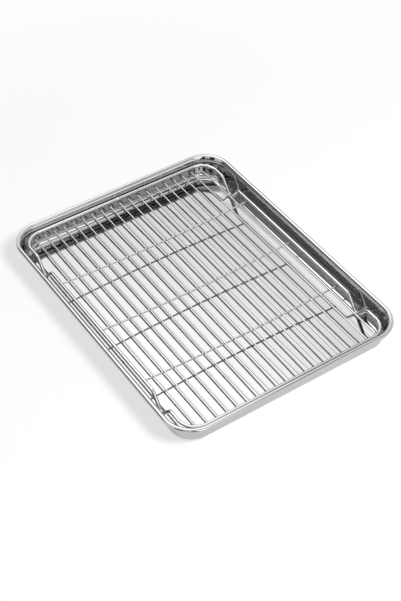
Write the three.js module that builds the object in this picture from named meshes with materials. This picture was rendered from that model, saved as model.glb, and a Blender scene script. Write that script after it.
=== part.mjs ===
// A steel sheet pan with a wire rack standing in it. Millimetres, +Z up.
// X runs along the pan and Y across it. The origin is the middle of the pan's underside.
import * as THREE from 'three';

// Pan: one pressed sheet, with sloping walls and a rim rolled outwards
const panLength = 315;
const panWidth = 246.4;
const panHeight = 25.4;
const sheetThickness = 0.6;
const wallSlope = THREE.MathUtils.degToRad(10);
const floorBendRadius = 8;
const rimRadius = 2.4;
const rimCornerRadius = 30;
const rimCurlEnd = THREE.MathUtils.degToRad(300);

// Rack: one thick wire bent into a frame with four V legs, and thin wires welded under it
const frameWireDiameter = 3.4;
const thinWireDiameter = 1.7;
const rackHeight = 18.4;
const frameCornerRadius = 18;
const endClearance = 1.9;
const sideClearance = 6.6;
const footClearance = 0.3;
const weldGap = 0.2;
const longWireCount = 19;
const crossWireCount = 3;
const crossWireBow = 3.6;
const wireEndReach = 0.6;

// Legs: each V is measured from the end wire to its foot, and between its two upper bends
const footFromEnd = 44;
const legSpread = 28;
const legBendRadius = 5;
const footBendRadius = 4;

// Facets
const cornerSteps = 8;
const bendSteps = 8;
const curlSteps = 20;
const frameWireSides = 10;
const thinWireSides = 8;
const thinWireSteps = 12;
const arcStep = THREE.MathUtils.degToRad(13);

// Places that follow from the sizes above. An inset is measured inwards from the rim's outer edge.
const frameWireRadius = frameWireDiameter / 2;
const thinWireRadius = thinWireDiameter / 2;
const rimCentreHeight = panHeight - rimRadius;
const bendCentreHeight = sheetThickness + floorBendRadius;
const wallRun = (rimCentreHeight - bendCentreHeight) * Math.sin(wallSlope);
const floorInset = rimRadius + (rimRadius + floorBendRadius + wallRun) / Math.cos(wallSlope);

const frameToFloor = frameWireRadius + footClearance;
const floorHalfWidth = panWidth / 2 - floorInset;

// Inner face of the wall at a height above the bend
function wallInset(height) {
  const drop = (rimCentreHeight - height) * Math.tan(wallSlope);
  return rimRadius + rimRadius / Math.cos(wallSlope) + drop;
}

// Centre height of a foot that clears the floor, and the bend where it stands on it
function footHeightAt(halfWidth) {
  const upTheBend = Math.max(0, halfWidth - floorHalfWidth);
  const reach = floorBendRadius - frameToFloor;
  return bendCentreHeight - Math.sqrt(reach ** 2 - upTheBend ** 2);
}

const flatFloorFrameHeight = sheetThickness + footClearance + rackHeight - frameWireRadius;
const frameHalfWidth = panWidth / 2 - wallInset(flatFloorFrameHeight) - sideClearance - frameWireRadius;
const footHeight = footHeightAt(frameHalfWidth);
const frameHeight = footHeight + rackHeight - frameWireDiameter;
const frameHalfLength = panLength / 2 - wallInset(frameHeight) - endClearance - frameWireRadius;
const footX = frameHalfLength - footFromEnd;

const longWirePitch = 2 * frameHalfWidth / (longWireCount + 1);
const crossWirePitch = 2 * frameHalfLength / (crossWireCount + 1);
const outerCrossX = crossWirePitch * (crossWireCount - 1) / 2;
const underFrameHeight = frameHeight - frameWireRadius - weldGap - thinWireRadius;

// Finishes
const satinSheet = { color: 0xd6d7d8, roughness: 0.28, metalness: 1 };
const polishedWire = { color: 0xe2e3e4, roughness: 0.16, metalness: 1 };

function makePiece(name, geometry, finish) {
  const piece = new THREE.Mesh(geometry, new THREE.MeshStandardMaterial(finish));
  piece.name = name;
  return piece;
}

// Points on an arc in the plane of a section, from one angle to another
function sectionArc(centre, radius, from, to, steps) {
  return Array.from({ length: steps + 1 }, (_, index) => {
    const angle = from + (to - from) * index / steps;
    return [centre[0] + radius * Math.cos(angle), centre[1] + radius * Math.sin(angle)];
  });
}

// Section of the sheet as [inset, height]: the outside from the floor up into the curl,
// then back along the inside to the floor. The curl stops short of the wall, so it stays open.
function panSection() {
  const rimCentre = [rimRadius, rimCentreHeight];
  const bendCentre = [floorInset, bendCentreHeight];
  const down = 1.5 * Math.PI;
  const wallNormal = Math.PI + wallSlope;
  const outerBend = floorBendRadius + sheetThickness;
  return [
    ...sectionArc(bendCentre, outerBend, down, wallNormal, bendSteps),
    ...sectionArc(rimCentre, rimRadius - sheetThickness, wallSlope, rimCurlEnd, curlSteps),
    ...sectionArc(rimCentre, rimRadius, rimCurlEnd, wallSlope, curlSteps),
    ...sectionArc(bendCentre, floorBendRadius, wallNormal, down, bendSteps),
  ];
}

// The plan of the pan as corner centres and directions, anticlockwise from +X
function planStations() {
  const centreX = panLength / 2 - rimCornerRadius;
  const centreY = panWidth / 2 - rimCornerRadius;
  const signs = [[1, 1], [-1, 1], [-1, -1], [1, -1]];
  return signs.flatMap(([signX, signY], corner) =>
    Array.from({ length: cornerSteps + 1 }, (_, index) => {
      const angle = (corner + index / cornerSteps) * Math.PI / 2;
      return { x: signX * centreX, y: signY * centreY, angle };
    }));
}

// The section carried round the plan, with the flat floor closing it above and below
function panGeometry() {
  const section = panSection();
  const stations = planStations();
  const positions = [];
  for (const { x, y, angle } of stations) {
    for (const [inset, height] of section) {
      const radius = rimCornerRadius - inset;
      positions.push(x + radius * Math.cos(angle), y + radius * Math.sin(angle), height);
    }
  }
  const vertex = (station, point) => (station % stations.length) * section.length + point;
  const triangles = [];
  for (let station = 0; station < stations.length; station += 1) {
    for (let point = 0; point < section.length - 1; point += 1) {
      const here = vertex(station, point);
      const above = vertex(station, point + 1);
      const next = vertex(station + 1, point);
      const nextAbove = vertex(station + 1, point + 1);
      triangles.push(here, next, nextAbove, here, nextAbove, above);
    }
  }
  const top = section.length - 1;
  for (let station = 1; station < stations.length - 1; station += 1) {
    triangles.push(vertex(0, 0), vertex(station + 1, 0), vertex(station, 0));
    triangles.push(vertex(0, top), vertex(station, top), vertex(station + 1, top));
  }
  const geometry = new THREE.BufferGeometry();
  geometry.setAttribute('position', new THREE.Float32BufferAttribute(positions, 3));
  geometry.setIndex(triangles);
  geometry.computeVertexNormals();
  return geometry;
}

// A closed wire: straight runs with each corner rounded to its own radius
class BentWire extends THREE.Curve {
  constructor(corners) {
    super();
    this.stations = corners.flatMap(({ point, radius }, index) => {
      const before = corners.at(index - 1).point;
      const after = corners[(index + 1) % corners.length].point;
      return BentWire.bend(before, point, after, radius);
    });
  }

  static bend(before, corner, after, radius) {
    const incoming = corner.clone().sub(before).normalize();
    const outgoing = after.clone().sub(corner).normalize();
    const turn = incoming.angleTo(outgoing);
    const start = corner.clone().addScaledVector(incoming, -radius * Math.tan(turn / 2));
    const axis = incoming.clone().cross(outgoing).normalize();
    const toCentre = axis.clone().cross(incoming);
    const centre = start.clone().addScaledVector(toCentre, radius);
    const steps = Math.ceil(turn / arcStep);
    return Array.from({ length: steps + 1 }, (_, index) => {
      const angle = turn * index / steps;
      const spoke = start.clone().sub(centre).applyAxisAngle(axis, angle);
      return {
        point: spoke.add(centre),
        tangent: incoming.clone().applyAxisAngle(axis, angle),
      };
    });
  }

  stationAt(share) {
    const count = this.stations.length;
    return this.stations[Math.round(share * count) % count];
  }

  getPointAt(share, target = new THREE.Vector3()) {
    return target.copy(this.stationAt(share).point);
  }

  getTangentAt(share, target = new THREE.Vector3()) {
    return target.copy(this.stationAt(share).tangent);
  }
}

// Depth of a leg's sharp V whose rounded foot comes down to the foot's height
function legDepth() {
  const half = legSpread / 2;
  const straight = frameHeight - footHeight - footBendRadius;
  const root = Math.sqrt(half ** 2 + straight ** 2 - footBendRadius ** 2);
  const slope = (half * straight + footBendRadius * root) / (half ** 2 - footBendRadius ** 2);
  return half * slope;
}

// The frame's corners, anticlockwise from the far end of the +Y side
function frameCorners() {
  const depth = legDepth();
  const corners = [];
  for (const side of [1, -1]) {
    const y = side * frameHalfWidth;
    const bendAt = (x, drop, radius) => {
      const point = new THREE.Vector3(side * x, y, frameHeight - drop);
      corners.push({ point, radius });
    };
    bendAt(frameHalfLength, 0, frameCornerRadius);
    for (const foot of [footX, -footX]) {
      bendAt(foot + legSpread / 2, 0, legBendRadius);
      bendAt(foot, depth, footBendRadius);
      bendAt(foot - legSpread / 2, 0, legBendRadius);
    }
    bendAt(-frameHalfLength, 0, frameCornerRadius);
  }
  return corners;
}

function frameGeometry() {
  const wire = new BentWire(frameCorners());
  return new THREE.TubeGeometry(wire, wire.stations.length, frameWireRadius, frameWireSides, true);
}

// Cross wires hang in a shallow curve from the two side wires that they are welded under
function crossWireHeight(y) {
  return underFrameHeight - crossWireBow * (1 - (y / frameHalfWidth) ** 2);
}

class CrossWire extends THREE.Curve {
  constructor(x) {
    super();
    this.x = x;
  }

  getPoint(share, target = new THREE.Vector3()) {
    const y = (2 * share - 1) * (frameHalfWidth + wireEndReach);
    return target.set(this.x, y, crossWireHeight(y));
  }
}

// Long wires lie level on the cross wires, then curve to the end wires that they are welded under
class LongWire extends THREE.Curve {
  constructor(y) {
    super();
    this.y = y;
    const intoCorner = Math.max(0, Math.abs(y) - (frameHalfWidth - frameCornerRadius));
    const cornerReach = Math.sqrt(frameCornerRadius ** 2 - intoCorner ** 2);
    this.weldX = frameHalfLength - frameCornerRadius + cornerReach;
    this.levelHeight = crossWireHeight(y) + thinWireDiameter + weldGap;
  }

  getPoint(share, target = new THREE.Vector3()) {
    const x = (2 * share - 1) * (this.weldX + wireEndReach);
    const pastCross = Math.max(0, (Math.abs(x) - outerCrossX) / (this.weldX - outerCrossX));
    const rise = (underFrameHeight - this.levelHeight) * pastCross ** 2;
    return target.set(x, this.y, this.levelHeight + rise);
  }
}

// An arc in a shape is drawn with two sides for each of its curve segments
function thinWireGeometry(path) {
  const section = new THREE.Shape().absarc(0, 0, thinWireRadius, 0, 2 * Math.PI);
  return new THREE.ExtrudeGeometry(section, {
    steps: thinWireSteps,
    curveSegments: thinWireSides / 2,
    extrudePath: path,
  });
}

function makeRack() {
  const rack = new THREE.Group();
  rack.add(makePiece('rack_frame', frameGeometry(), polishedWire));
  for (let index = 0; index < longWireCount; index += 1) {
    const y = (index - (longWireCount - 1) / 2) * longWirePitch;
    const name = `long_wire_${String(index + 1).padStart(2, '0')}`;
    rack.add(makePiece(name, thinWireGeometry(new LongWire(y)), polishedWire));
  }
  for (let index = 0; index < crossWireCount; index += 1) {
    const x = (index - (crossWireCount - 1) / 2) * crossWirePitch;
    const name = `cross_wire_${index + 1}`;
    rack.add(makePiece(name, thinWireGeometry(new CrossWire(x)), polishedWire));
  }
  return rack;
}

const panWithRack = new THREE.Group();
panWithRack.add(makePiece('sheet_pan', panGeometry(), satinSheet));
panWithRack.add(makeRack());

export default panWithRack;
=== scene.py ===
# Steel sheet pan with a loose wire rack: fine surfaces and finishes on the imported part.
# Metres, +Z up.
import math

import bpy
import numpy as np
from mathutils import Matrix


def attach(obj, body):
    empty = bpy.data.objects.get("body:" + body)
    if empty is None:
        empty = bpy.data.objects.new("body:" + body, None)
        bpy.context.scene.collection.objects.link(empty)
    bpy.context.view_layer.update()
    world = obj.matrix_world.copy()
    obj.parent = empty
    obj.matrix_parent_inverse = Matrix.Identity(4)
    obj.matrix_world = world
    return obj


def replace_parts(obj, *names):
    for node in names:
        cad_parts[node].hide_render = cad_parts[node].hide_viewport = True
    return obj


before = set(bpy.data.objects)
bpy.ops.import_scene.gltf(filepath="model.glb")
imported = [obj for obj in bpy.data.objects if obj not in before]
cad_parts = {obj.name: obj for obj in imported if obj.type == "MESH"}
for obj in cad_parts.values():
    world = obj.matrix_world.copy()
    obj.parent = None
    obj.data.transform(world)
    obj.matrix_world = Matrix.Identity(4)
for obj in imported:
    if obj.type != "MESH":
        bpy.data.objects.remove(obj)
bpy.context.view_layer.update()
scene = bpy.context.scene
print("frame loaded:", len(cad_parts), "nodes")


# Camera

photoCamera = dict(
    azimuth=56.055, elevation=44.764,  # degrees round and above the pan
    distance=1.2305, slideRight=0.00155, slideUp=-0.00417,
    focalPixels=1282.5, imageHeight=601, sensor=36.0,
)


def placeCamera(view):
    # looks at the pan's middle from afar, then slides sideways and up in its own picture plane
    azimuth, elevation = math.radians(view["azimuth"]), math.radians(view["elevation"])
    right = np.array([math.cos(azimuth), math.sin(azimuth), 0.0])
    back = np.array([
        math.sin(azimuth) * math.cos(elevation),
        -math.cos(azimuth) * math.cos(elevation),
        math.sin(elevation),
    ])
    up = np.cross(back, right)
    place = back * view["distance"] + right * view["slideRight"] + up * view["slideUp"]
    data = bpy.data.cameras.new("photoCamera")
    data.sensor_width = view["sensor"]
    data.lens = view["focalPixels"] * view["sensor"] / view["imageHeight"]
    camera = bpy.data.objects.new("photoCamera", data)
    turned = np.eye(4)
    turned[:3, 0], turned[:3, 1], turned[:3, 2], turned[:3, 3] = right, up, back, place
    camera.matrix_world = Matrix(turned.tolist())
    scene.collection.objects.link(camera)
    scene.camera = camera


placeCamera(photoCamera)
print("camera placed")


# Surfaces

def skinObject(name, rows, uvAlong, uvAround, poles=None, closedAlong=False):
    # rows is a grid of points [along, around, xyz]; each row is a closed ring, the rows join in
    # order, and poles are the two points that close the first and the last row
    along, around = rows.shape[:2]
    steps = along if closedAlong else along - 1
    i, j = np.meshgrid(np.arange(steps), np.arange(around), indexing="ij")
    nextRow, nextCell = (i + 1) % along, (j + 1) % around
    quads = np.stack([
        i * around + j, nextRow * around + j, nextRow * around + nextCell, i * around + nextCell,
    ], axis=-1).reshape(-1, 4)
    uvs = np.stack([
        np.stack([uvAlong[i], uvAround[j]], -1),
        np.stack([uvAlong[i + 1], uvAround[j]], -1),
        np.stack([uvAlong[i + 1], uvAround[j + 1]], -1),
        np.stack([uvAlong[i], uvAround[j + 1]], -1),
    ], axis=-2).reshape(-1, 2)
    points = rows.reshape(-1, 3)
    triangles = np.zeros((0, 3), int)
    if poles is not None:
        ring = np.arange(around)
        after = (ring + 1) % around
        first, last = len(points), len(points) + 1
        base = (along - 1) * around
        triangles = np.concatenate([
            np.stack([np.full(around, first), ring, after], -1),
            np.stack([np.full(around, last), base + after, base + ring], -1),
        ])
        points = np.concatenate([points, np.asarray(poles, float)])
        fan = [
            np.stack([
                np.stack([np.full(around, u), uvAround[ring + s]], -1) for s in shifts
            ], axis=-2).reshape(-1, 2)
            for u, shifts in ((uvAlong[0], (0, 0, 1)), (uvAlong[along - 1], (0, 1, 0)))
        ]
        uvs = np.concatenate([uvs, *fan])
    a, b, c, d = (points[quads[:, k]] for k in range(4))
    volume = np.einsum("ij,ij->", a, np.cross(b, c)) + np.einsum("ij,ij->", a, np.cross(c, d))
    faces = quads.tolist() + triangles.tolist()
    if volume < 0:  # the walk round the grid was inside out
        faces = [face[::-1] for face in faces]
        uvs = np.concatenate([
            uvs[:len(quads) * 4].reshape(-1, 4, 2)[:, ::-1].reshape(-1, 2),
            uvs[len(quads) * 4:].reshape(-1, 3, 2)[:, ::-1].reshape(-1, 2),
        ])
    mesh = bpy.data.meshes.new(name)
    mesh.from_pydata(points, [], faces)
    layer = mesh.uv_layers.new(name="surfaceUv")
    layer.data.foreach_set("uv", uvs.astype(np.float32).ravel())
    mesh.polygons.foreach_set("use_smooth", np.ones(len(faces), bool))
    mesh.update()
    piece = bpy.data.objects.new(name, mesh)
    scene.collection.objects.link(piece)
    return piece


def pathLength(points):
    # running length of a line of points
    return np.concatenate([[0.0], np.cumsum(np.linalg.norm(np.diff(points, axis=0), axis=1))])


def wireRows(centres, tangents, radii, sides, weldUp, weldDown):
    # a round section carried along a line, kept upright: sideways is up x tangent, and the
    # section's top is tangent x sideways. weldUp and weldDown push out its top and bottom, as the
    # squared sine of the angle, where it is welded to another wire
    up = np.array([0.0, 0.0, 1.0])
    sideways = np.cross(up, tangents)
    sideways /= np.linalg.norm(sideways, axis=1, keepdims=True)
    top = np.cross(tangents, sideways)
    angle = np.linspace(0, 2 * math.pi, sides, endpoint=False) - math.pi / 2
    across, above = np.cos(angle), np.sin(angle)
    topShare, bottomShare = np.clip(above, 0, 1) ** 2, np.clip(-above, 0, 1) ** 2
    swell = weldUp[:, None] * topShare + weldDown[:, None] * bottomShare
    reach = radii[:, None] + swell
    spokes = sideways[:, None] * across[None, :, None] + top[:, None] * above[None, :, None]
    return centres[:, None] + reach[:, :, None] * spokes


def weldSwell(distances, weld):
    # height of the squeezed metal at each station: a bell curve of its distance to a weld
    return weld["height"] * np.exp(-(distances / weld["reach"]) ** 2)


def nearest(stations, spots):
    # distance from each station to its nearest spot, endless where there are no spots
    return np.abs(stations[:, None] - np.reshape(spots, (1, -1))).min(1, initial=np.inf)


# Pan: one pressed sheet

panShape = dict(
    length=0.315, width=0.2464, height=0.0254, sheet=0.0006,
    wallSlope=math.radians(10), floorBend=0.008,  # the plain wall that the rack is set out from
    lowSlope=math.radians(5), highSlope=math.radians(31), flarePower=4,
    rimRadius=0.0024, rimCorner=0.030, curlEnd=math.radians(300),
    drawMarkDepth=0.00004, drawMarkWaves=(6.3, 10.7, 16.4),  # waves in a quarter turn
    floorSteps=24, bendSteps=20, wallSteps=16, hiddenCurlSteps=16, curlSteps=48, edgeSteps=8,
    cornerSteps=72, lengthSteps=28, widthSteps=22,
)


def arcPoints(centre, radius, start, end, steps):
    # points on a circle's arc from one angle to another
    angle = np.linspace(start, end, steps + 1)
    return np.stack([centre[0] + radius * np.cos(angle), centre[1] + radius * np.sin(angle)], -1)


def panSection(pan):
    # inset from the rim's outer edge and height: outside of the bend and wall, inside of the curl,
    # its raw edge, then back over the bead and down the inside of the wall to the floor. The wall
    # flares: the tangent of its slope grows with a power of the share of the way up
    low, high, power = pan["lowSlope"], pan["highSlope"], pan["flarePower"]
    sheet, rim = pan["sheet"], pan["rimRadius"]
    rimCentre = np.array([rim, pan["height"] - rim])
    share = np.linspace(0, 1, pan["wallSteps"] + 1)
    growth = math.tan(high) - math.tan(low)
    foot = sheet + pan["floorBend"] * (1 - math.sin(low))
    rise = rimCentre[1] + rim * math.sin(high) - foot
    lean = rise * (math.tan(low) * share + growth * share ** (power + 1) / (power + 1))
    slope = np.arctan(math.tan(low) + growth * share ** power)
    facing = np.stack([np.cos(slope), np.sin(slope)], -1)
    inner = np.stack([rim + rim * math.cos(high) + lean[-1] - lean, foot + rise * share], -1)
    outer = inner - sheet * facing
    bendCentre = inner[0] + pan["floorBend"] * facing[0]
    down, wall = 1.5 * math.pi, math.pi + low
    outerBend = arcPoints(bendCentre, pan["floorBend"] + sheet, down, wall, pan["bendSteps"])
    innerBend = arcPoints(bendCentre, pan["floorBend"], wall, down, pan["bendSteps"])
    hidden = arcPoints(rimCentre, rim - sheet, high, pan["curlEnd"], pan["hiddenCurlSteps"])
    bead = arcPoints(rimCentre, rim, pan["curlEnd"], high, pan["curlSteps"])
    turn = np.linspace(0, math.pi, pan["edgeSteps"] + 1)[1:-1, None]
    outward = np.array([math.cos(pan["curlEnd"]), math.sin(pan["curlEnd"])])
    onward = np.array([-outward[1], outward[0]])
    edge = rimCentre + (rim - sheet / 2) * outward
    edge = edge + sheet / 2 * (np.sin(turn) * onward - np.cos(turn) * outward)
    outside = np.concatenate([outerBend, outer[1:-1], hidden, edge, bead])
    return np.concatenate([outside, inner[-2:0:-1], innerBend]), len(outside)


def panPlan(pan):
    # a rounded rectangle as moving centres and outward directions: a point is
    # centre + (corner radius - inset) * direction
    x, y = pan["length"] / 2 - pan["rimCorner"], pan["width"] / 2 - pan["rimCorner"]
    corners = np.array([[x, y], [-x, y], [-x, -y], [x, -y]])
    centres, angles = [], []
    for k in range(4):
        turn = np.linspace(0, math.pi / 2, pan["cornerSteps"] + 1) + k * math.pi / 2
        centres.append(np.repeat(corners[k:k + 1], len(turn), 0))
        angles.append(turn)
        steps = pan["lengthSteps"] if k % 2 == 0 else pan["widthSteps"]
        share = np.linspace(0, 1, steps + 1)[1:-1, None]
        centres.append(corners[k] + (corners[(k + 1) % 4] - corners[k]) * share)
        angles.append(np.full(steps - 1, turn[-1]))
    angles = np.concatenate(angles)
    return np.concatenate(centres), np.stack([np.cos(angles), np.sin(angles)], -1)


def drawMarks(pan, heights, directions):
    # how far the drawn corners bulge: cosine waves round each corner, which fade as a squared sine
    # towards its two ends, the floor and the bead
    angle = np.arctan2(directions[:, 1], directions[:, 0])
    waves = np.mean([np.cos(4 * count * angle) for count in pan["drawMarkWaves"]], axis=0)
    wallHeight = pan["height"] - pan["rimRadius"] - pan["sheet"]
    share = np.clip((heights - pan["sheet"]) / wallHeight, 0, 1)
    upWall, roundCorner = np.sin(math.pi * share) ** 2, np.sin(2 * angle) ** 2
    return pan["drawMarkDepth"] * np.outer(upWall, waves * roundCorner)


def makePan(pan):
    # the section carried round the plan; the floor runs from its edge straight to the middle
    section, insideRow = panSection(pan)
    centres, directions = panPlan(pan)
    reach = pan["rimCorner"] - section[:, :1] + drawMarks(pan, section[:, 1], directions)
    flat = centres[None] + reach[:, :, None] * directions[None]
    height = np.broadcast_to(section[:, 1][:, None, None], flat.shape[:2] + (1,))
    walls = np.concatenate([flat, height], -1)
    share = np.linspace(0, 1, pan["floorSteps"] + 1)[1:-1, None, None]
    shrink = np.concatenate([share, share, np.ones_like(share)], -1)
    rows = np.concatenate([walls[:1] * shrink, walls, (walls[-1:] * shrink)[::-1]])
    outline = rows[len(rows) // 2]
    uvAround = pathLength(np.concatenate([outline, outline[:1]]))
    uvAlong = np.append(pathLength(rows[:, 0]), 0)
    uvAlong -= uvAlong[pan["floorSteps"] - 1 + insideRow]  # below 0 on the bead and the outside
    poles = [[0, 0, 0], [0, 0, pan["sheet"]]]
    return skinObject("pressedPan", rows, uvAlong, uvAround, poles=poles)


panPiece = makePan(panShape)
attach(panPiece, "pan")
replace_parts(panPiece, "sheet_pan")
print("pan made:", len(panPiece.data.polygons), "faces")


# Rack: one thick frame wire with four V legs, thin wires welded under it

rackShape = dict(
    frameWire=0.0034, thinWire=0.0017, height=0.0184,
    cornerRadius=0.018, endClearance=0.0019, sideClearance=0.0066,
    footClearance=0.0003, weldGap=0.0002,
    longWires=19, crossWires=3, bow=0.0036, endReach=0.0006,
    footFromEnd=0.044, legSpread=0.028, legBend=0.005, footBend=0.004,
)


def rackPlaces(rack, pan):
    # where the rack's wires run, from the pan that it stands in
    thick, thin = rack["frameWire"] / 2, rack["thinWire"] / 2
    rim, slope = pan["rimRadius"], pan["wallSlope"]
    rimHeight, bendHeight = pan["height"] - rim, pan["sheet"] + pan["floorBend"]
    lean = (rimHeight - bendHeight) * math.sin(slope)
    floorInset = rim + (rim + pan["floorBend"] + lean) / math.cos(slope)

    def wallInset(height):
        return rim + rim / math.cos(slope) + (rimHeight - height) * math.tan(slope)

    lowFrame = pan["sheet"] + rack["footClearance"] + rack["height"] - thick
    halfWidth = pan["width"] / 2 - wallInset(lowFrame) - rack["sideClearance"] - thick
    upBend = max(0.0, halfWidth - pan["width"] / 2 + floorInset)
    reach = pan["floorBend"] - thick - rack["footClearance"]
    footHeight = bendHeight - math.sqrt(reach ** 2 - upBend ** 2)
    frameHeight = footHeight + rack["height"] - rack["frameWire"]
    halfLength = pan["length"] / 2 - wallInset(frameHeight) - rack["endClearance"] - thick
    longPitch = 2 * halfWidth / (rack["longWires"] + 1)
    crossPitch = 2 * halfLength / (rack["crossWires"] + 1)
    return dict(
        halfWidth=halfWidth, halfLength=halfLength,
        frameHeight=frameHeight, footHeight=footHeight,
        footX=halfLength - rack["footFromEnd"],
        underFrame=frameHeight - thick - rack["weldGap"] - thin,
        longY=(np.arange(rack["longWires"]) - (rack["longWires"] - 1) / 2) * longPitch,
        crossX=(np.arange(rack["crossWires"]) - (rack["crossWires"] - 1) / 2) * crossPitch,
    )


places = rackPlaces(rackShape, panShape)
weld = dict(
    height=0.00024, reach=0.0009, span=0.0027, steps=13,
    digits=6,  # stations that agree to a micrometre are one
)


def weldStations(low, high, spacing, welds):
    # even stations with close ones round each weld
    even = np.linspace(low, high, int(round((high - low) / spacing)) + 1)
    around = np.linspace(-weld["span"], weld["span"], weld["steps"])
    close = (np.reshape(welds, (-1, 1)) + around[None]).ravel()
    joined = np.concatenate([even, close[(close > low) & (close < high)]])
    return np.unique(np.round(joined, weld["digits"]))


def crossHeight(y):
    # a shallow parabola hanging from the two side wires
    return places["underFrame"] - rackShape["bow"] * (1 - (y / places["halfWidth"]) ** 2)


def weldReach(y):
    # where a long wire at y meets the frame's end wire or its rounded corner
    corner = rackShape["cornerRadius"]
    into = np.maximum(0, np.abs(y) - (places["halfWidth"] - corner))
    return places["halfLength"] - corner + np.sqrt(corner ** 2 - into ** 2)


thinSurface = dict(sides=14, spacing=0.006, cutRound=0.0003, cutSteps=5)


def cutEnds(reach):
    # stations at a wire's cut end, closing in on it as the edge rounds off
    turn = np.linspace(0, math.pi / 2, thinSurface["cutSteps"] + 1)[:-1]
    return reach - thinSurface["cutRound"] * (1 - np.sin(turn))


def thinWire(name, stations, line, weldsUp, weldsDown, reach):
    # line gives the wire's centre at each station; its cut ends are flat with a rounded edge
    ends = cutEnds(reach)
    between = stations[np.abs(stations) < ends[0]]
    stations = np.unique(np.concatenate([between, ends, -ends, [reach, -reach]]))
    centres = line(stations)
    tangents = np.gradient(centres, stations, axis=0)
    tangents /= np.linalg.norm(tangents, axis=1, keepdims=True)
    soft = thinSurface["cutRound"]
    past = np.clip((np.abs(stations) - (reach - soft)) / soft, 0, 1)
    radii = rackShape["thinWire"] / 2 - soft + soft * np.sqrt(1 - past ** 2)
    swellUp = weldSwell(nearest(stations, weldsUp), weld) * (1 - past)
    swellDown = weldSwell(nearest(stations, weldsDown), weld) * (1 - past)
    rows = wireRows(centres, tangents, radii, thinSurface["sides"], swellUp, swellDown)
    uvAlong = np.append(pathLength(centres), 0)
    uvAround = np.linspace(0, math.pi * rackShape["thinWire"], thinSurface["sides"] + 1)
    piece = skinObject(name, rows, uvAlong, uvAround, poles=[centres[0], centres[-1]])
    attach(piece, "rack")
    return piece


def makeLongWire(index, y):
    # level on the cross wires, then a quadratic rise to the end wires
    crossX = places["crossX"]
    meet = weldReach(y)
    level = crossHeight(y) + rackShape["thinWire"] + rackShape["weldGap"]

    def line(x):
        past = np.maximum(0, (np.abs(x) - crossX[-1]) / (meet - crossX[-1]))
        height = level + (places["underFrame"] - level) * past ** 2
        return np.stack([x, np.full_like(x, y), height], -1)

    reach = meet + rackShape["endReach"]
    stations = weldStations(-reach, reach, thinSurface["spacing"], [*crossX, -meet, meet])
    piece = thinWire(f"longWire{index + 1:02d}", stations, line, [-meet, meet], crossX, reach)
    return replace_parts(piece, f"long_wire_{index + 1:02d}")


def makeCrossWire(index, x):
    # straight across, hanging as a parabola
    def line(y):
        return np.stack([np.full_like(y, x), y, crossHeight(y)], -1)

    meet = places["halfWidth"]
    reach = meet + rackShape["endReach"]
    welds = [*places["longY"], -meet, meet]
    stations = weldStations(-reach, reach, thinSurface["spacing"], welds)
    piece = thinWire(f"crossWire{index + 1}", stations, line, welds, [], reach)
    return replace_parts(piece, f"cross_wire_{index + 1}")


wirePieces = [makeLongWire(k, y) for k, y in enumerate(places["longY"])]
wirePieces += [makeCrossWire(k, x) for k, x in enumerate(places["crossX"])]
print("thin wires made:", len(wirePieces))


frameSurface = dict(
    sides=24, spacing=0.004, arcStep=math.radians(2.5), arcLeast=4, tolerance=0.00001,
    buttX=-1, buttY=0.0005,  # the loop's ends meet on the far end wire
    buttHeight=0.0003, buttReach=0.0011,
)


def legDepth(rack):
    # depth of the sharp V whose rounded foot reaches down to the foot's height
    half, bend = rack["legSpread"] / 2, rack["footBend"]
    straight = places["frameHeight"] - places["footHeight"] - bend
    root = math.sqrt(half ** 2 + straight ** 2 - bend ** 2)
    return half * (half * straight + bend * root) / (half ** 2 - bend ** 2)


def frameCorners(rack):
    # the loop's sharp corners in order, each with its bend: one side with its two V legs, then the
    # other side the other way
    corners = []
    depth, half = legDepth(rack), rack["legSpread"] / 2
    top, halfLength = places["frameHeight"], places["halfLength"]
    for side in (1, -1):
        y = side * places["halfWidth"]
        run = [(halfLength, 0, rack["cornerRadius"])]
        for foot in (places["footX"], -places["footX"]):
            run += [
                (foot + half, 0, rack["legBend"]),
                (foot, depth, rack["footBend"]),
                (foot - half, 0, rack["legBend"]),
            ]
        run += [(-halfLength, 0, rack["cornerRadius"])]
        corners += [(np.array([side * x, y, top - drop]), bend) for x, drop, bend in run]
    return corners


def bendArc(before, corner, after, radius, surface):
    # the arc that rounds a corner, as points and tangents
    incoming = (corner - before) / np.linalg.norm(corner - before)
    outgoing = (after - corner) / np.linalg.norm(after - corner)
    turn = math.acos(np.clip(incoming @ outgoing, -1, 1))
    axis = np.cross(incoming, outgoing) / math.sin(turn)
    inward = np.cross(axis, incoming)
    start = corner - incoming * radius * math.tan(turn / 2)
    steps = max(surface["arcLeast"], math.ceil(turn / surface["arcStep"]))
    angle = np.linspace(0, turn, steps + 1)[:, None]
    points = start + radius * (np.sin(angle) * incoming + (1 - np.cos(angle)) * inward)
    return points, np.cos(angle) * incoming + np.sin(angle) * inward


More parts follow.
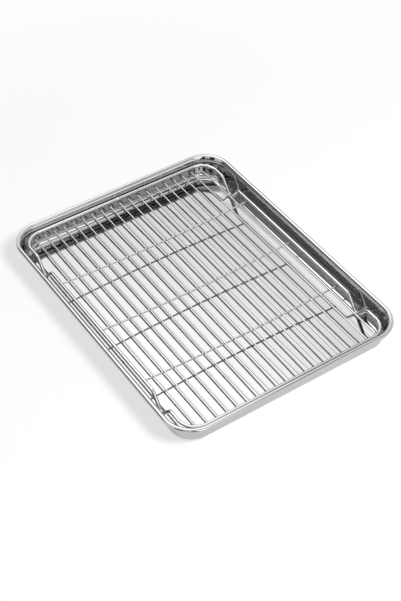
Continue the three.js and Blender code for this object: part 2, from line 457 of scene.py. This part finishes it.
def makeFrameWire(rack, surface):
    # the round section carried round the loop: an arc at each corner and straight runs between
    # them, with close stations at the welds
    spots, bends = zip(*frameCorners(rack))
    count = len(spots)
    arcs = [
        bendArc(spots[k - 1], spots[k], spots[(k + 1) % count], bends[k], surface)
        for k in range(count)
    ]
    halfWidth, tolerance = places["halfWidth"], surface["tolerance"]
    endWelds = np.array([[s * weldReach(y), y] for y in places["longY"] for s in (-1, 1)])
    sideWelds = np.array([[x, s * halfWidth] for x in places["crossX"] for s in (-1, 1)])
    welds = np.concatenate([endWelds, sideWelds])
    points, tangents = [], []
    for k in range(count):
        points.append(arcs[k][0])
        tangents.append(arcs[k][1])
        start, end = arcs[k][0][-1], arcs[(k + 1) % count][0][0]
        length = np.linalg.norm(end - start)
        along = (end - start) / length
        level = abs(along[2]) < tolerance
        offset = (welds - start[:2]) @ along[:2]
        aside = np.abs((welds - start[:2]) @ np.array([-along[1], along[0]]))
        onRun = level & (aside < tolerance) & (offset > 0) & (offset < length)
        run = weldStations(0, length, surface["spacing"], offset[onRun])[1:-1]
        points.append(start + run[:, None] * along)
        tangents.append(np.repeat(along[None], len(run), 0))
    centres, tangents = np.concatenate(points), np.concatenate(tangents)
    gap = np.linalg.norm(centres[:, None, :2] - welds[None], axis=2).min(1)
    onTop = centres[:, 2] > places["frameHeight"] - tolerance
    swell = np.where(onTop, weldSwell(gap, weld), 0)
    butt = np.array([surface["buttX"] * places["halfLength"], surface["buttY"]])
    fromButt = np.linalg.norm(centres[:, :2] - butt, axis=1)
    seam = surface["buttHeight"] * np.exp(-(fromButt / surface["buttReach"]) ** 2)
    radii = rack["frameWire"] / 2 + seam
    rows = wireRows(centres, tangents, radii, surface["sides"], np.zeros(len(centres)), swell)
    uvAlong = pathLength(np.concatenate([centres, centres[:1]]))
    uvAround = np.linspace(0, math.pi * rack["frameWire"], surface["sides"] + 1)
    piece = skinObject("frameWire", rows, uvAlong, uvAround, closedAlong=True)
    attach(piece, "rack")
    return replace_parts(piece, "rack_frame")


framePiece = makeFrameWire(rackShape, frameSurface)
print("frame wire made:", len(framePiece.data.polygons), "faces")


# Finishes

class Value:
    # a node's output; arithmetic on it adds Math nodes
    def __init__(self, finish, socket):
        self.finish, self.socket = finish, socket

    def maths(self, operation, first, second):
        return self.finish.node("ShaderNodeMath", dict(operation=operation), {0: first, 1: second})

    def __add__(self, other):
        return self.maths("ADD", self, other)

    def __sub__(self, other):
        return self.maths("SUBTRACT", self, other)

    def __rsub__(self, other):
        return self.maths("SUBTRACT", other, self)

    def __mul__(self, other):
        return self.maths("MULTIPLY", self, other)

    __radd__, __rmul__ = __add__, __mul__


class Finish:
    # the node tree of a material or world, cleared
    def __init__(self, owner):
        owner.use_nodes = True
        self.owner, self.tree = owner, owner.node_tree
        self.tree.nodes.clear()

    def node(self, kind, settings=None, inputs=None, output=0):
        made = self.tree.nodes.new(kind)
        for key, value in (settings or {}).items():
            setattr(made, key, value)
        for key, value in (inputs or {}).items():
            if isinstance(value, Value):
                self.tree.links.new(value.socket, made.inputs[key])
            else:
                made.inputs[key].default_value = value
        return Value(self, made.outputs[output]) if len(made.outputs) else made

    def mixed(self, share, first, second):
        ends = {0: share, 6: first, 7: second}
        return self.node("ShaderNodeMix", dict(data_type="RGBA"), ends, output=2)

    def smooth(self, value, low, high):
        return self.node("ShaderNodeMapRange", dict(interpolation_type="SMOOTHSTEP"), {
            0: value, 1: low, 2: high})

    def noise(self, vector, scale, detail, roughness=0.5):
        return self.node("ShaderNodeTexNoise", None, {
            "Vector": vector, "Scale": scale, "Detail": detail, "Roughness": roughness})

    def end(self, kind, shader):
        self.node(kind, None, {"Surface": shader})


def grey(level):
    return (level, level, level, 1.0)


def blended(values, shares):
    # each value times its share, added up
    total = values[0] * shares[0]
    for value, share in zip(values[1:], shares[1:]):
        total = total + value * share
    return total


sheetSteel = dict(
    # the outside tone is painted sheen: it lightens the bead and outside of the same steel
    darkTone=0.38, lightTone=0.52, paintedSheenTone=0.045, paintedSheenFade=0.001,
    roughness=0.025, roughnessSpread=0.035,
    toneShares=(0.3, 0.35, 0.35), roughShares=(0.4, 0.3, 0.3),  # of cloud, grain and polish
    cloudScale=22.0, cloudDetail=3.0,
    grainScale=900.0, grainDetail=3.0, grainCrisp=0.6, grainBump=0.04, grainDepth=0.00002,
    polishScale=1100.0, polishDetail=2.0, polishCrisp=0.6, polishStretch=0.03,
    waveScale=14.0, waveDetail=1.0, waveBump=0.03, waveDepth=0.0004,
)


def sheetFinish(steel):
    # pressed stainless sheet: slow cloudy tone, a fine satin grain, polishing lines along its
    # length, a trace of waviness, and painted sheen: a lighter tone on the bead and outside
    finish = Finish(bpy.data.materials.new("sheetSteel"))
    place = finish.node("ShaderNodeTexCoord", output="Object")
    surface = finish.node("ShaderNodeTexCoord", output="UV")
    inward = finish.node("ShaderNodeSeparateXYZ", None, {0: surface})
    # painted sheen mask: 1 on the bead and outside, where the surface's first coordinate is below 0
    outside = 1 - finish.smooth(inward, -steel["paintedSheenFade"], 0.0)
    cloud = finish.noise(place, steel["cloudScale"], steel["cloudDetail"])
    grain = finish.noise(place, steel["grainScale"], steel["grainDetail"], steel["grainCrisp"])
    along = finish.node("ShaderNodeMapping", None, {
        "Vector": place, "Scale": (steel["polishStretch"], 1.0, 1.0)})
    polish = finish.noise(along, steel["polishScale"], steel["polishDetail"], steel["polishCrisp"])
    wave = finish.noise(place, steel["waveScale"], steel["waveDetail"])
    speck = blended((cloud, grain, polish), steel["toneShares"])
    tone = steel["darkTone"] + (steel["lightTone"] - steel["darkTone"]) * speck
    # painted sheen: the bead and outside are made lighter than the rest of the sheet
    tone = tone + steel["paintedSheenTone"] * outside
    dulling = blended((cloud, grain, polish), steel["roughShares"])
    rough = steel["roughness"] + steel["roughnessSpread"] * dulling
    swells = finish.node("ShaderNodeBump", None, {
        "Strength": steel["waveBump"], "Distance": steel["waveDepth"], "Height": wave})
    bump = finish.node("ShaderNodeBump", None, {
        "Strength": steel["grainBump"], "Distance": steel["grainDepth"],
        "Height": grain, "Normal": swells})
    shader = finish.node("ShaderNodeBsdfPrincipled", None, {
        "Base Color": tone, "Metallic": 1.0, "Roughness": rough, "Normal": bump})
    finish.end("ShaderNodeOutputMaterial", shader)
    return finish.owner


wireSteel = dict(
    darkTone=0.51, lightTone=0.57, roughness=0.04, roughnessSpread=0.04,
    toneShares=(0.6, 0.4), roughShares=(0.5, 0.5),  # of lines and cloud
    lineScale=2600.0, lineDetail=2.0, lineCrisp=0.6, lineStretch=0.02,
    lineBump=0.05, lineDepth=0.00001,
    cloudScale=60.0, cloudDetail=2.0,
)


def wireFinish(steel):
    # bright drawn wire: faint lines along its length over a slow change of tone
    finish = Finish(bpy.data.materials.new("wireSteel"))
    surface = finish.node("ShaderNodeTexCoord", output="UV")
    stretched = finish.node("ShaderNodeMapping", None, {
        "Vector": surface, "Scale": (steel["lineStretch"], 1.0, 1.0)})
    lines = finish.noise(stretched, steel["lineScale"], steel["lineDetail"], steel["lineCrisp"])
    cloud = finish.noise(surface, steel["cloudScale"], steel["cloudDetail"])
    speck = blended((lines, cloud), steel["toneShares"])
    tone = finish.mixed(speck, grey(steel["darkTone"]), grey(steel["lightTone"]))
    dulling = blended((lines, cloud), steel["roughShares"])
    rough = steel["roughness"] + steel["roughnessSpread"] * dulling
    bump = finish.node("ShaderNodeBump", None, {
        "Strength": steel["lineBump"], "Distance": steel["lineDepth"], "Height": lines})
    shader = finish.node("ShaderNodeBsdfPrincipled", None, {
        "Base Color": tone, "Metallic": 1.0, "Roughness": rough, "Normal": bump})
    finish.end("ShaderNodeOutputMaterial", shader)
    return finish.owner


panPiece.data.materials.append(sheetFinish(sheetSteel))
brightWire = wireFinish(wireSteel)
for piece in [framePiece, *wirePieces]:
    piece.data.materials.append(brightWire)
print("finishes made")


# Studio: a white floor in a white tent, with soft boxes and dark cards that only the steel mirrors

studio = dict(
    floorHalf=6.0, floorDrop=0.00015, floorTone=0.86,
    floorWhite=0.65, fadeStart=0.2, fadeEnd=0.7,
    tentLight=0.35, tentWhite=1.0,
)
# what the steel mirrors: degrees from +X towards +Y and above the floor, half sizes in degrees,
# metres away, radiance, and the share of the card over which each edge fades
panelColumns = ("name", "azimuth", "elevation", "wide", "high", "distance", "glow", "soft")
panels = [dict(zip(panelColumns, row)) for row in [
    ("overheadBox", 175, 64, 38, 33, 2.8, 3.05, 0.45),
    ("wireBox", 198, 59, 17, 12, 2.7, 3.4, 0.33),
    ("rightBox", -4, 27, 20, 18, 2.6, 2.4, 0.33),
    ("keyBox", 22, 3, 20, 10, 2.5, 1.9, 0.42),
    ("crossBox", 25, 45, 7, 7, 2.4, 2.8, 0.3),
    ("rightCard", 24, 20, 6, 11, 2.3, 0.46, 0.41),
    ("backCard", 140, 18, 16, 18, 2.2, 0.06, 0.25),
    ("leftCard", -134, 24, 20, 26, 2.15, 0.22, 0.14),
    ("topCard", 50, 55, 10, 8, 2.0, 0.05, 0.16),
    ("frontCard", -68, 15, 13, 21, 2.1, 0.03, 0.15),
    ("lowCard", -45, 3, 22, 9, 2.05, 0.03, 0.12),
    ("sideCard", -22, 15, 13, 21, 2.9, 0.03, 0.15),
]]
keyLamp = dict(azimuth=20, elevation=52, distance=2.2, size=0.7, watts=52.0)


def direction(azimuth, elevation):
    # unit vector at an angle from +X towards +Y and above the floor
    a, e = math.radians(azimuth), math.radians(elevation)
    return np.array([math.cos(a) * math.cos(e), math.sin(a) * math.cos(e), math.sin(e)])


def seenDirectly(finish):
    # 1 for camera, mirror and glass rays, 0 for the light that falls on things
    path = finish.node("ShaderNodeLightPath").socket.node
    kinds = ("Camera", "Glossy", "Transmission")
    eye, mirror, glass = (Value(finish, path.outputs[f"Is {kind} Ray"]) for kind in kinds)
    return eye + mirror + glass


def makeFloor(shape):
    # white to the eye by a share of plain white that grows away from the pan; the rest is lit and
    # keeps the shadow
    half = shape["floorHalf"]
    corners = [(-half, -half), (half, -half), (half, half), (-half, half)]
    mesh = bpy.data.meshes.new("studioFloor")
    mesh.from_pydata([(x, y, -shape["floorDrop"]) for x, y in corners], [], [(0, 1, 2, 3)])
    floor = bpy.data.objects.new("studioFloor", mesh)
    scene.collection.objects.link(floor)
    finish = Finish(bpy.data.materials.new("paleFloor"))
    lit = finish.node("ShaderNodeBsdfDiffuse", None, {"Color": grey(shape["floorTone"])})
    white = finish.node("ShaderNodeEmission", None, {"Color": grey(1.0), "Strength": 1.0})
    place = finish.node("ShaderNodeTexCoord", output="Object")
    away = finish.node("ShaderNodeVectorMath", dict(operation="LENGTH"), {0: place}, output="Value")
    fade = finish.smooth(away, shape["fadeStart"], shape["fadeEnd"])
    share = seenDirectly(finish) * (shape["floorWhite"] + (1 - shape["floorWhite"]) * fade)
    mixed = finish.node("ShaderNodeMixShader", None, {0: share, 1: lit, 2: white})
    finish.end("ShaderNodeOutputMaterial", mixed)
    mesh.materials.append(finish.owner)


def makePanel(panel):
    # a flat card facing the pan, seen only in reflections, its edges fading out
    centre = direction(panel["azimuth"], panel["elevation"])
    across = direction(panel["azimuth"] + 90, 0)
    above = np.cross(centre, across)
    wide = math.tan(math.radians(panel["wide"])) * across
    high = math.tan(math.radians(panel["high"])) * above
    spots = [centre - wide - high, centre + wide - high, centre + wide + high, centre - wide + high]
    mesh = bpy.data.meshes.new(panel["name"])
    mesh.from_pydata(np.array(spots) * panel["distance"], [], [(3, 2, 1, 0)])
    layer = mesh.uv_layers.new(name="surfaceUv")
    layer.data.foreach_set("uv", np.array([[0, 1], [1, 1], [1, 0], [0, 0]], np.float32).ravel())
    card = bpy.data.objects.new(panel["name"], mesh)
    scene.collection.objects.link(card)
    finish = Finish(bpy.data.materials.new(panel["name"]))
    surface = finish.node("ShaderNodeTexCoord", output="UV")
    split = finish.node("ShaderNodeSeparateXYZ", None, {0: surface}).socket.node
    u, v = Value(finish, split.outputs[0]), Value(finish, split.outputs[1])
    soft = panel["soft"]
    mask = finish.smooth(u, 0.0, soft) * finish.smooth(1 - u, 0.0, soft)
    mask = mask * finish.smooth(v, 0.0, soft) * finish.smooth(1 - v, 0.0, soft)
    clear = finish.node("ShaderNodeBsdfTransparent")
    glow = finish.node("ShaderNodeEmission", None, {
        "Color": grey(1.0), "Strength": panel["glow"]})
    mixed = finish.node("ShaderNodeMixShader", None, {0: mask, 1: clear, 2: glow})
    finish.end("ShaderNodeOutputMaterial", mixed)
    mesh.materials.append(finish.owner)
    card.visible_camera = card.visible_diffuse = card.visible_shadow = False


def makeKeyLamp(lamp):
    # throws the soft shadow; the steel mirrors the panels instead of it
    data = bpy.data.lights.new("keyLamp", "AREA")
    data.shape, data.size, data.energy = "SQUARE", lamp["size"], lamp["watts"]
    spot = bpy.data.objects.new("keyLamp", data)
    toLamp = direction(lamp["azimuth"], lamp["elevation"])
    across = direction(lamp["azimuth"] + 90, 0)
    turned = np.eye(4)
    turned[:3, 0], turned[:3, 1], turned[:3, 2] = across, np.cross(toLamp, across), toLamp
    turned[:3, 3] = toLamp * lamp["distance"]
    spot.matrix_world = Matrix(turned.tolist())
    spot.visible_glossy = False
    scene.collection.objects.link(spot)


def makeTent(shape):
    # white to the eye and in mirrors, and a weaker light on matt things
    world = bpy.data.worlds.new("whiteTent")
    scene.world = world
    finish = Finish(world)
    light, white = (
        finish.node("ShaderNodeBackground", None, {"Color": grey(1.0), "Strength": shape[strength]})
        for strength in ("tentLight", "tentWhite")
    )
    mixed = finish.node("ShaderNodeMixShader", None, {0: seenDirectly(finish), 1: light, 2: white})
    finish.end("ShaderNodeOutputWorld", mixed)


makeFloor(studio)
for panel in panels:
    makePanel(panel)
makeKeyLamp(keyLamp)
makeTent(studio)
scene.view_settings.view_transform = "Standard"
print("studio made")
